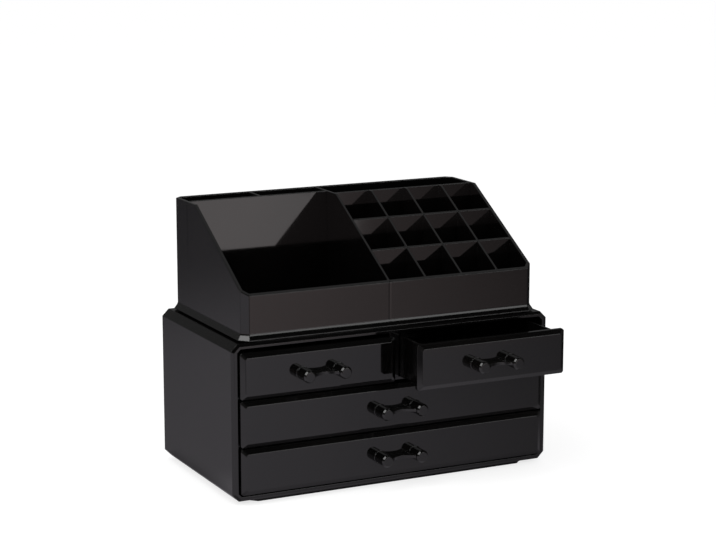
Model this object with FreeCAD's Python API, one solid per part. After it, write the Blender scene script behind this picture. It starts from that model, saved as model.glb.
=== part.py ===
"""Cosmetics organiser: a brush and lipstick tray standing on a cabinet with four drawers.

Millimetres. +X is to the right, +Y to the back and +Z up. The origin is the centre of the cabinet's
underside, on the surface that it stands on. Each named part is written to parts/NODE.step.
"""
import FreeCAD, Part
import math
import os

V = FreeCAD.Vector

# ---------------------------------------------------------------- cabinet
CABINET_HALF_WIDTH = 120.0
CABINET_HALF_DEPTH = 63.5
PLINTH_HEIGHT = 2.5
CABINET_TOP = 109.6
EDGE_CHAMFER = 4.75            # along the four long edges that run front to back
FRONT_BEVEL = 1.7              # round the outside of the front and back edges
SIDE_WALL = 4.2
FLOOR_WALL = 3.4
EDGE_ROUND = 0.4               # soft edge that a moulded part has

PLINTH_HALF_WIDTH = 106.0
PLINTH_HALF_DEPTH = 59.0
PLINTH_CORNER = 6.0
PLINTH_WALL = 3.0
SEAT_DEPTH = 1.5               # recess in the top that a plinth stands in
SEAT_CLEARANCE = 0.4

BACK_THICKNESS = 2.5
BACK_INSET = 0.5
SHELF_THICKNESS = 2.0
SHELF_FRONT_Y = -62.0
DIVIDER_FRONT_Y = -62.3        # just clear of the drawer fronts
DIVIDER_HALF_THICKNESS = 3.6

# ---------------------------------------------------------------- drawer rows
ROW_PITCH = 32.6
LOWEST_FRONT_Z = 7.2
FRONT_HEIGHT = 31.4
FRONT_OUTER_X = 114.9
FRONT_INNER_X = 0.7            # where a half-width front ends beside the middle
FRONT_BACK_Y = -62.5
FRONT_BEVEL_Y = -65.2          # outer edge of the front's bevel
FRONT_FACE_Y = -67.4
FRONT_BEVEL_WIDTH = 3.1
FRONT_CORNER = 1.2
RUNNER_RISE = 2.4              # top of a runner above the underside of its drawer front
RUNNING_GAP = 0.2
GUIDE_INNER_X = 107.8
GUIDE_THICKNESS = 1.5
GUIDE_HEIGHT = 6.4
RUNNER_WIDTH = 3.8

BOX_OUTER_X = 107.2
BOX_INNER_X = 4.0              # where a half-width box ends beside the divider
BOX_BACK_Y = 57.0
BOX_TOP_DROP = 0.3             # box rim below the top of its front
BOX_WALL = 1.8
BOX_CORNER = 3.0
BOX_FLOOR_ROUND = 0.95         # inside, where the floor meets the walls
OPEN_AMOUNT = 29.0             # how far the top right drawer stands open

# ---------------------------------------------------------------- handles
HANDLE_PITCH = 26.5
HANDLE_DROP = 1.4              # handle below the middle of its front
POST_RADIUS = 4.35
POST_LENGTH = 13.0
POST_TAPER_LENGTH = 1.5        # steep edge round the tip
POST_TAPER_WIDTH = 1.1
POST_FOOT_RADIUS = 4.8
POST_FOOT_THICKNESS = 0.6
WEB_THICKNESS = 2.0
WEB_REACH = 11.4               # at the posts
WEB_WAIST = 6.5                # half way between the posts
WEB_ARC_HALF_SPAN = 9.2
SCREW_RADIUS = 1.5
SCREW_REACH = 6.0              # into the post
SCREW_POINT = 0.75             # chamfer at the end of the shank
SCREW_HOLE_RADIUS = 1.65
PILOT_RADIUS = 1.52
PILOT_DEPTH = 7.0
SCREW_HEAD_RADIUS = 2.8
SCREW_HEAD_HEIGHT = 1.7
SCREW_CROWN_ROUND = 1.0
RECESS_WIDTH = 0.7             # cross recess in the head
RECESS_ARM = 1.7
RECESS_DEPTH = 0.8

# ---------------------------------------------------------------- tray
TRAY_HALF_WIDTH = 110.25
TRAY_FRONT_Y = -60.0
TRAY_BACK_Y = 61.0
TRAY_WALL = 2.5
TRAY_CORNER = 4.6
TRAY_REVEAL = 1.0              # gap between the cabinet's top and the tray's skirt
SKIRT_OUTSET = 2.4
SKIRT_HEIGHT = 3.1
COLLAR_OUTSET = 0.4            # steeper band between the skirt and the wall
COLLAR_HEIGHT = 1.2
TRAY_TOP = 189.2
TRAY_FRONT_TOP = 140.6
SLOPE_START_Y = 22.75          # the rim is level behind this line and slopes down in front of it

PLATE = 1.8                    # dividers in the tray
PARTITION_X = -2.2
CELL_PITCH = 28.1
CELL_COLUMNS = 3
FRONT_ROW_Y = -30.75
MIDDLE_ROW_Y = -2.25
BACK_ROW_Y = 27.25
BRUSH_WALL_TOP_Y = 38.3        # this wall leans back a little
BRUSH_WALL_FOOT_Y = 35.3
BRUSH_DIVIDER_X = -54.0
LAP_Z = 127.0                  # where crossed dividers halve into each other
LAP_CLEARANCE = 0.1

# ---------------------------------------------------------------- worked out from the above
TRAY_BASE = CABINET_TOP + TRAY_REVEAL
TRAY_FLOOR = TRAY_BASE + TRAY_WALL
CHAMFER_INSET = 2.0 - math.sqrt(2.0)   # how much a 45 degree corner shortens per unit of inward offset
INNER_X = CABINET_HALF_WIDTH - SIDE_WALL
INNER_BOTTOM = PLINTH_HEIGHT + FLOOR_WALL
INNER_TOP = CABINET_TOP - FLOOR_WALL
BACK_FACE_Y = CABINET_HALF_DEPTH - BACK_INSET - BACK_THICKNESS
TINY = 0.01
CLEAR = 1.0                    # how far a cutting shape runs past what it cuts


# ---------------------------------------------------------------- shape helpers
def block(x0, x1, y0, y1, z0, z1):
    """A plain box between two corners."""
    return Part.makeBox(x1 - x0, y1 - y0, z1 - z0, V(x0, y0, z0))


def chamfered_outline(a0, a1, b0, b1, cut):
    """Corner points of a rectangle whose four corners are cut at 45 degrees."""
    return [(a0 + cut, b0), (a1 - cut, b0), (a1, b0 + cut), (a1, b1 - cut),
            (a1 - cut, b1), (a0 + cut, b1), (a0, b1 - cut), (a0, b0 + cut)]


def wire_xy(points, z):
    """Closed wire through points of the XY plane at height z."""
    corners = [V(x, y, z) for x, y in points]
    return Part.makePolygon(corners + corners[:1])


def wire_xz(points, y):
    """Closed wire through points of the XZ plane at depth y."""
    corners = [V(x, y, z) for x, z in points]
    return Part.makePolygon(corners + corners[:1])


def prism_z(points, z0, z1):
    """Prism on an outline in the XY plane."""
    return Part.Face(wire_xy(points, z0)).extrude(V(0, 0, z1 - z0))


def prism_y(points, y0, y1):
    """Prism on an outline in the XZ plane."""
    return Part.Face(wire_xz(points, y0)).extrude(V(0, y1 - y0, 0))


def prism_x(points, x0, x1):
    """Prism on an outline in the YZ plane."""
    corners = [V(x0, y, z) for y, z in points]
    return Part.Face(Part.makePolygon(corners + corners[:1])).extrude(V(x1 - x0, 0, 0))


def rounded_block(x0, x1, y0, y1, z0, z1, radius):
    """A box whose upright edges are rounded."""
    solid = block(x0, x1, y0, y1, z0, z1)
    upright = [e for e in solid.Edges if abs(e.BoundBox.ZLength - (z1 - z0)) < TINY]
    return solid.makeFillet(radius, upright)


def edges_where(shape, test):
    """The edges of a shape whose two ends and middle all pass a test on (x, y, z)."""
    found = []
    for edge in shape.Edges:
        middle = edge.valueAt((edge.FirstParameter + edge.LastParameter) / 2)
        if all(test(p.x, p.y, p.z) for p in [v.Point for v in edge.Vertexes] + [middle]):
            found.append(edge)
    return found


def near(a, b):
    """Whether two lengths are the same."""
    return abs(a - b) < TINY


def cylinder_y(radius, x, z, y0, y1):
    """A cylinder along Y."""
    return Part.makeCylinder(radius, y1 - y0, V(x, y0, z), V(0, 1, 0))


# ---------------------------------------------------------------- cabinet
def plinth_outline(offset):
    """Plan of the plinth, or of something that far outside it."""
    cut = PLINTH_CORNER + offset * CHAMFER_INSET
    half_width = PLINTH_HALF_WIDTH + offset
    half_depth = PLINTH_HALF_DEPTH + offset
    return chamfered_outline(-half_width, half_width, -half_depth, half_depth, cut)


def runner_ribs(floor_z):
    """The pair of L ribs that carry and guide the lowest drawer."""
    top = LOWEST_FRONT_Z + RUNNER_RISE
    inner = GUIDE_INNER_X - RUNNER_WIDTH
    outer = GUIDE_INNER_X + GUIDE_THICKNESS
    profile = [(inner, floor_z - TINY), (outer, floor_z - TINY), (outer, top + GUIDE_HEIGHT),
               (GUIDE_INNER_X, top + GUIDE_HEIGHT), (GUIDE_INNER_X, top), (inner, top)]
    ribs = []
    for side in (-1, 1):
        ribs.append(prism_y([(side * x, z) for x, z in profile], SHELF_FRONT_Y, BACK_FACE_Y))
    return ribs


def cabinet_shell():
    """The sleeve with its chamfered long edges, its plinth and the seat in its top."""
    w, d = CABINET_HALF_WIDTH, CABINET_HALF_DEPTH
    outer = prism_y(chamfered_outline(-w, w, PLINTH_HEIGHT, CABINET_TOP, EDGE_CHAMFER), -d, d)
    for y in (-d, d):
        outer = outer.makeChamfer(FRONT_BEVEL, edges_where(outer, lambda px, py, pz: near(py, y)))
    shell = outer.fuse(prism_z(plinth_outline(0), 0, PLINTH_HEIGHT + FLOOR_WALL / 2))
    inner_cut = EDGE_CHAMFER - SIDE_WALL * CHAMFER_INSET
    mouth = chamfered_outline(-INNER_X, INNER_X, INNER_BOTTOM, INNER_TOP, inner_cut)
    shell = shell.cut(prism_y(mouth, -d - CLEAR, d + CLEAR))
    shell = shell.cut(prism_z(plinth_outline(-PLINTH_WALL), PLINTH_WALL, INNER_BOTTOM + CLEAR))
    seat = plinth_outline(SEAT_CLEARANCE)
    shell = shell.cut(prism_z(seat, CABINET_TOP - SEAT_DEPTH, CABINET_TOP + CLEAR))
    shell = shell.fuse(runner_ribs(INNER_BOTTOM)).removeSplitter()

    def at_mouth(x, y, z):
        """Edges round the front opening."""
        inside = abs(x) < INNER_X + TINY and INNER_BOTTOM - TINY < z < INNER_TOP + TINY
        return near(y, -d) and inside

    return shell.makeFillet(EDGE_ROUND, edges_where(shell, at_mouth))


def back_panel():
    """The plate that closes the back of the sleeve."""
    inner_cut = EDGE_CHAMFER - SIDE_WALL * CHAMFER_INSET
    outline = chamfered_outline(-INNER_X, INNER_X, INNER_BOTTOM, INNER_TOP, inner_cut)
    return prism_y(outline, BACK_FACE_Y, BACK_FACE_Y + BACK_THICKNESS)


def shelf(row):
    """The shelf that carries a drawer row, with a guide rib along each side."""
    top = LOWEST_FRONT_Z + row * ROW_PITCH + RUNNER_RISE
    plate = block(-INNER_X, INNER_X, SHELF_FRONT_Y, BACK_FACE_Y, top - SHELF_THICKNESS, top)
    ribs = []
    for side in (-1, 1):
        x = side * (GUIDE_INNER_X + GUIDE_THICKNESS / 2)
        half = GUIDE_THICKNESS / 2
        ribs.append(block(x - half, x + half, SHELF_FRONT_Y, BACK_FACE_Y, top - TINY, top + GUIDE_HEIGHT))
    return plate.fuse(ribs).removeSplitter()


def centre_divider():
    """The upright between the two half-width drawers."""
    shelf_top = LOWEST_FRONT_Z + 2 * ROW_PITCH + RUNNER_RISE
    half = DIVIDER_HALF_THICKNESS
    solid = block(-half, half, DIVIDER_FRONT_Y, BACK_FACE_Y, shelf_top, INNER_TOP)
    front_edges = edges_where(solid, lambda x, y, z: near(y, DIVIDER_FRONT_Y) and near(abs(x), half))
    return solid.makeFillet(EDGE_ROUND, front_edges)


# ---------------------------------------------------------------- drawers
class Drawer:
    """Sizes of one drawer: its row, the ends of its front and of its box, and how far it stands open."""

    def __init__(self, name, row, side=0, opened=0.0):
        """side is 0 for a full-width drawer, -1 for a left one and 1 for a right one."""
        self.name = name
        self.opened = opened
        self.bottom = LOWEST_FRONT_Z + row * ROW_PITCH
        self.top = self.bottom + FRONT_HEIGHT
        self.front_x = self.ends(side, FRONT_INNER_X, FRONT_OUTER_X)
        self.box_x = self.ends(side, BOX_INNER_X, BOX_OUTER_X)
        self.middle_x = sum(self.front_x) / 2
        self.handle_z = (self.bottom + self.top) / 2 - HANDLE_DROP

    @staticmethod
    def ends(side, inner, outer):
        """Left and right ends of a piece that runs from inner to outer, or across both sides."""
        if side == 0:
            return -outer, outer
        return min(side * inner, side * outer), max(side * inner, side * outer)

    def posts_x(self):
        """Where the two posts of the handle stand."""
        return self.middle_x - HANDLE_PITCH / 2, self.middle_x + HANDLE_PITCH / 2

    def placed(self, shape):
        """A shape of the shut drawer, moved to where the drawer stands."""
        moved = shape.copy()
        moved.translate(V(0, -self.opened, 0))
        return moved

    def screw_holes(self, radius, y0, y1):
        """A pair of cylinders through which the screws pass."""
        return [cylinder_y(radius, x, self.handle_z, y0, y1) for x in self.posts_x()]

    def box(self):
        """The open box: floor and four walls."""
        x0, x1 = self.box_x
        z0 = self.bottom + RUNNER_RISE + RUNNING_GAP
        z1 = self.top - BOX_TOP_DROP
        outer = block(x0, x1, FRONT_BACK_Y, BOX_BACK_Y, z0, z1)
        back_corners = edges_where(outer, lambda x, y, z: near(y, BOX_BACK_Y) and (near(x, x0) or near(x, x1)))
        outer = outer.makeFillet(BOX_CORNER, [e for e in back_corners if near(e.BoundBox.ZLength, z1 - z0)])
        t = BOX_WALL
        inside_y = FRONT_BACK_Y + t
        hollow = rounded_block(x0 + t, x1 - t, inside_y, BOX_BACK_Y - t, z0 + t, z1 + CLEAR, BOX_CORNER - t)
        floor_edges = edges_where(hollow, lambda x, y, z: near(z, z0 + t))
        box = outer.cut(hollow.makeFillet(BOX_FLOOR_ROUND, floor_edges))
        for hole in self.screw_holes(SCREW_HOLE_RADIUS, FRONT_BACK_Y - CLEAR, inside_y + CLEAR):
            box = box.cut(hole)
        rim = edges_where(box, lambda x, y, z: near(z, z1) and y > FRONT_BACK_Y + TINY)
        return self.placed(box.makeFillet(EDGE_ROUND, rim))

    def front(self):
        """The front plate with a mitred bevel all round its face."""
        x0, x1 = self.front_x
        z0, z1 = self.bottom, self.top
        outline = chamfered_outline(x0, x1, z0, z1, FRONT_CORNER)
        b = FRONT_BEVEL_WIDTH
        face_outline = chamfered_outline(x0 + b, x1 - b, z0 + b, z1 - b, FRONT_CORNER)
        slab = prism_y(outline, FRONT_BEVEL_Y, FRONT_BACK_Y)
        bevel_wires = [wire_xz(outline, FRONT_BEVEL_Y), wire_xz(face_outline, FRONT_FACE_Y)]
        bevel = Part.makeLoft(bevel_wires, True, True)
        front = slab.fuse(bevel).removeSplitter()
        front = front.makeFillet(EDGE_ROUND, edges_where(front, lambda x, y, z: near(y, FRONT_FACE_Y)))
        for hole in self.screw_holes(SCREW_HOLE_RADIUS, FRONT_FACE_Y - CLEAR, FRONT_BACK_Y + CLEAR):
            front = front.cut(hole)
        return self.placed(front)

    def handle(self):
        """Two round posts joined by a thin web whose front edge curves in."""
        z = self.handle_z
        left, right = self.posts_x()
        taper_y = FRONT_FACE_Y - POST_LENGTH + POST_TAPER_LENGTH
        pieces = []
        for x in (left, right):
            pieces.append(cylinder_y(POST_RADIUS, x, z, taper_y, FRONT_FACE_Y))
            pieces.append(Part.makeCone(POST_RADIUS, POST_RADIUS - POST_TAPER_WIDTH, POST_TAPER_LENGTH,
                                        V(x, taper_y, z), V(0, -1, 0)))
            foot = cylinder_y(POST_FOOT_RADIUS, x, z, FRONT_FACE_Y - POST_FOOT_THICKNESS, FRONT_FACE_Y)
            foot_rim = edges_where(foot, lambda px, py, pz: near(py, FRONT_FACE_Y - POST_FOOT_THICKNESS))
            pieces.append(foot.makeFillet(EDGE_ROUND, foot_rim))
        pieces.append(self.web(left, right))
        handle = pieces[0].fuse(pieces[1:]).removeSplitter()
        for hole in self.screw_holes(PILOT_RADIUS, FRONT_FACE_Y - PILOT_DEPTH, FRONT_FACE_Y + CLEAR):
            handle = handle.cut(hole)
        return self.placed(handle)

    def web(self, left, right):
        """The plate between the posts, with a concave front edge."""
        z = self.handle_z - WEB_THICKNESS / 2
        reach = FRONT_FACE_Y - WEB_REACH
        arc_left = V(self.middle_x - WEB_ARC_HALF_SPAN, reach, z)
        arc_right = V(self.middle_x + WEB_ARC_HALF_SPAN, reach, z)
        waist = V(self.middle_x, FRONT_FACE_Y - WEB_WAIST, z)
        corners = [arc_right, V(right, reach, z), V(right, FRONT_FACE_Y, z),
                   V(left, FRONT_FACE_Y, z), V(left, reach, z), arc_left]
        edges = [Part.makeLine(a, b) for a, b in zip(corners, corners[1:])]
        edges.append(Part.Arc(arc_left, waist, arc_right).toShape())
        return Part.Face(Part.Wire(edges)).extrude(V(0, 0, WEB_THICKNESS))

    def screws(self):
        """The two pan head screws that hold the handle, driven from inside the box."""
        inside_y = FRONT_BACK_Y + BOX_WALL
        group = []
        for x in self.posts_x():
            head = cylinder_y(SCREW_HEAD_RADIUS, x, self.handle_z, inside_y, inside_y + SCREW_HEAD_HEIGHT)
            crown = edges_where(head, lambda px, py, pz: near(py, inside_y + SCREW_HEAD_HEIGHT))
            head = head.makeFillet(SCREW_CROWN_ROUND, crown)
            shank = cylinder_y(SCREW_RADIUS, x, self.handle_z, FRONT_FACE_Y - SCREW_REACH, inside_y)
            tip = edges_where(shank, lambda px, py, pz: near(py, FRONT_FACE_Y - SCREW_REACH))
            screw = head.fuse(shank.makeChamfer(SCREW_POINT, tip)).removeSplitter()
            half = RECESS_WIDTH / 2
            head_top = inside_y + SCREW_HEAD_HEIGHT
            y0, y1 = head_top - RECESS_DEPTH, head_top + CLEAR
            for across, up in ((RECESS_ARM, half), (half, RECESS_ARM)):
                slot = block(x - across, x + across, y0, y1, self.handle_z - up, self.handle_z + up)
                screw = screw.cut(slot)
            group.append(screw)
        return self.placed(Part.makeCompound(group))


# ---------------------------------------------------------------- tray
def tray_outline(offset):
    """Plan of the tray, or of something that far outside it."""
    w = TRAY_HALF_WIDTH + offset
    return chamfered_outline(-w, w, TRAY_FRONT_Y - offset, TRAY_BACK_Y + offset,
                             TRAY_CORNER + offset * CHAMFER_INSET)


def rim_z(y):
    """Height of the rim: level at the back and sloping down in front of SLOPE_START_Y."""
    fall = (TRAY_TOP - TRAY_FRONT_TOP) / (SLOPE_START_Y - TRAY_FRONT_Y)
    return TRAY_TOP - max(0.0, SLOPE_START_Y - y) * fall


def above_rim():
    """Everything above the rim: over the level part at the back and the slope in front of it."""
    x = TRAY_HALF_WIDTH + CLEAR
    ahead = TRAY_FRONT_Y - CLEAR
    behind = TRAY_BACK_Y + CLEAR
    high = TRAY_TOP + CLEAR
    side = [(ahead, rim_z(ahead)), (SLOPE_START_Y, TRAY_TOP), (behind, TRAY_TOP), (behind, high), (ahead, high)]
    return prism_x(side, -x, x)


def tray_shell():
    """Four walls with cut corners and a sloping rim, a floor, a flared skirt and a plinth."""
    body = prism_z(tray_outline(0), TRAY_BASE, TRAY_TOP)
    fold_z = TRAY_BASE + SKIRT_HEIGHT
    fold = wire_xy(tray_outline(COLLAR_OUTSET), fold_z)
    skirt = Part.makeLoft([wire_xy(tray_outline(SKIRT_OUTSET), TRAY_BASE), fold], True, True)
    collar = Part.makeLoft([fold, wire_xy(tray_outline(0), fold_z + COLLAR_HEIGHT)], True, True)
    seat = CABINET_TOP - SEAT_DEPTH
    plinth = prism_z(plinth_outline(0), seat, TRAY_BASE + TINY)
    plinth = plinth.cut(prism_z(plinth_outline(-PLINTH_WALL), seat - CLEAR, TRAY_BASE))
    tray = body.fuse([skirt, collar, plinth])
    tray = tray.cut(prism_z(tray_outline(-TRAY_WALL), TRAY_FLOOR, TRAY_TOP + CLEAR))
    return softened_rim(tray.cut(above_rim()).removeSplitter())


def softened_rim(solid, shortest=0.0):
    """The solid with the edges along its rim rounded, leaving out the fold where the slope starts."""
    rim = edges_where(solid, lambda x, y, z: near(z, rim_z(y)))
    rim = [e for e in rim if e.Length > shortest and not across_the_wall(e)]
    return solid.makeFillet(EDGE_ROUND, rim)


def across_the_wall(edge):
    """Whether an edge is the short fold across a side wall where the slope starts."""
    return all(near(v.Point.y, SLOPE_START_Y) for v in edge.Vertexes)


def plate_across(y, x0, x1):
    """An upright divider that runs left to right, rounded along its top."""
    solid = block(x0, x1, y - PLATE / 2, y + PLATE / 2, TRAY_FLOOR, TRAY_TOP)
    return softened_rim(solid.cut(above_rim()), PLATE + CLEAR)


def plate_along(x, y0, y1):
    """An upright divider that runs front to back, rounded along its top."""
    solid = block(x - PLATE / 2, x + PLATE / 2, y0, y1, TRAY_FLOOR, TRAY_TOP)
    return softened_rim(solid.cut(above_rim()), PLATE + CLEAR)


def brush_wall():
    """The leaning wall in front of the brush wells."""
    t = PLATE / 2
    section = [(BRUSH_WALL_FOOT_Y - t, TRAY_FLOOR), (BRUSH_WALL_FOOT_Y + t, TRAY_FLOOR),
               (BRUSH_WALL_TOP_Y + t, TRAY_TOP), (BRUSH_WALL_TOP_Y - t, TRAY_TOP)]
    return softened_rim(prism_x(section, TRAY_WALL - TRAY_HALF_WIDTH, PARTITION_X - t), PLATE + CLEAR)


def brush_divider():
    """The plate between the two brush wells, whose front edge follows the leaning wall."""
    t = PLATE / 2
    back = TRAY_BACK_Y - TRAY_WALL
    section = [(BRUSH_WALL_FOOT_Y + t, TRAY_FLOOR), (back, TRAY_FLOOR), (back, TRAY_TOP),
               (BRUSH_WALL_TOP_Y + t, TRAY_TOP)]
    return softened_rim(prism_x(section, BRUSH_DIVIDER_X - t, BRUSH_DIVIDER_X + t), PLATE + CLEAR)


def column_x(number):
    """Where a column divider stands, counted from 1 at the middle partition."""
    return PARTITION_X + number * CELL_PITCH


def lap_slot(x, y, z0, z1):
    """The slot where two crossed dividers halve into each other."""
    half = (PLATE + LAP_CLEARANCE) / 2
    return block(x - half, x + half, y - half, y + half, z0, z1)


def row_divider(y):
    """A divider across the lipstick cells, slotted from below where the columns cross it."""
    plate = plate_across(y, PARTITION_X + PLATE / 2, TRAY_HALF_WIDTH - TRAY_WALL)
    if y < BACK_ROW_Y:
        for number in range(1, CELL_COLUMNS + 1):
            plate = plate.cut(lap_slot(column_x(number), y, TRAY_FLOOR - CLEAR, LAP_Z))
    return plate


def column_divider(number):
    """A divider along the lipstick cells, slotted from above where the rows cross it."""
    plate = plate_along(column_x(number), TRAY_FRONT_Y + TRAY_WALL, BACK_ROW_Y - PLATE / 2)
    for y in (FRONT_ROW_Y, MIDDLE_ROW_Y):
        plate = plate.cut(lap_slot(column_x(number), y, LAP_Z, TRAY_TOP + CLEAR))
    return plate


def tray_dividers():
    """All the plates that stand in the tray."""
    nodes = {
        "middle_partition": plate_along(PARTITION_X, TRAY_FRONT_Y + TRAY_WALL, TRAY_BACK_Y - TRAY_WALL),
        "brush_wall": brush_wall(),
        "brush_divider": brush_divider(),
        "row_divider_front": row_divider(FRONT_ROW_Y),
        "row_divider_middle": row_divider(MIDDLE_ROW_Y),
        "row_divider_back": row_divider(BACK_ROW_Y),
    }
    for number in range(1, CELL_COLUMNS + 1):
        nodes[f"column_divider_{number}"] = column_divider(number)
    return nodes


# ---------------------------------------------------------------- the whole object
def build():
    """Every node's shape by name."""
    nodes = {
        "cabinet_shell": cabinet_shell(),
        "back_panel": back_panel(),
        "lower_shelf": shelf(1),
        "upper_shelf": shelf(2),
        "centre_divider": centre_divider(),
        "tray_shell": tray_shell(),
    }
    nodes.update(tray_dividers())
    drawers = [Drawer("bottom", 0), Drawer("middle", 1), Drawer("top_left", 2, side=-1),
               Drawer("top_right", 2, side=1, opened=OPEN_AMOUNT)]
    for drawer in drawers:
        nodes[f"drawer_box_{drawer.name}"] = drawer.box()
        nodes[f"drawer_front_{drawer.name}"] = drawer.front()
        nodes[f"handle_{drawer.name}"] = drawer.handle()
        nodes[f"handle_screws_{drawer.name}"] = drawer.screws()
    return nodes


os.makedirs("parts", exist_ok=True)
for node_name, node_shape in build().items():
    node_shape.exportStep(f"parts/{node_name}.step")
    print(node_name, len(node_shape.Solids), round(node_shape.Volume), node_shape.isValid())
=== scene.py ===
"""Looks of a cosmetics organiser: a brush and lipstick tray on a cabinet of four drawers, all gloss black.

Metres. +X is to the right, +Y to the back and +Z up, and the origin lies under the middle of the cabinet.
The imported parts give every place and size. The handles and their screws are modelled here in finer form.
"""
import logging
import math
from collections.abc import Callable
from dataclasses import dataclass
from enum import Enum
from typing import Optional, Union

import bmesh
import bpy
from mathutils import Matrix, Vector


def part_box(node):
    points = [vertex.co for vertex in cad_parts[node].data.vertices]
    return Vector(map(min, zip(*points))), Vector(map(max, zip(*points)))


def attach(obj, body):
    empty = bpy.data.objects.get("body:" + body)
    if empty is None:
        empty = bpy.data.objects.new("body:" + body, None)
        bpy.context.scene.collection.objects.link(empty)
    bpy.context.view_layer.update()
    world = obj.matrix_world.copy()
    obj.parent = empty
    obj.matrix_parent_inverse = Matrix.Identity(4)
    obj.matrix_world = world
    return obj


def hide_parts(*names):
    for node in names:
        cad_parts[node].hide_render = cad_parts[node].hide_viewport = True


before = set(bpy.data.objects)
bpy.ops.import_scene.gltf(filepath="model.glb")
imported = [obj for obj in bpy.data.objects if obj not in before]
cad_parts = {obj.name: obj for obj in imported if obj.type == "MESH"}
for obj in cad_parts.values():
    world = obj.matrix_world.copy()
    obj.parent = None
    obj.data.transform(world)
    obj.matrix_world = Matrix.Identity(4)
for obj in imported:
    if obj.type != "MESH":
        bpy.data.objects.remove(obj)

MM = 0.001
SAME_POINT = 0.001 * MM        # points of a mesh nearer than this are merged
HEAD_SEAT = 1.8 * MM           # from a drawer front's back to the wall that a screw's head sits on
DRAWERS = ("bottom", "middle", "top_left", "top_right")
log = logging.getLogger("organiser")

Socket = bpy.types.NodeSocket
Value = Union[Socket, float]
Colour = tuple[float, float, float]
Place = tuple[float, float, float]
Spot = tuple[float, float]     # a point in plan
Pair = tuple[float, float]     # of sizes, or the place and the radius of a ring


class Ray(Enum):
    """The kinds of ray that the floor and the room show themselves to in their own way."""

    CAMERA = "Is Camera Ray"
    GLOSSY = "Is Glossy Ray"
    TRANSMISSION = "Is Transmission Ray"


class Element(Enum):
    """The elements of a mesh that are selected by their place."""

    EDGE = "edges"
    FACE = "faces"


@dataclass(frozen=True)
class Fade:
    """How one value follows another over a range, held at both ends.

    Attributes:
        start: where the range starts.
        end: where it ends.
        first: the result at the start.
        last: the result at the end.
        eased: whether the change eases in and out.
    """

    start: float
    end: float
    first: float = 0.0
    last: float = 1.0
    eased: bool = True


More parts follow.
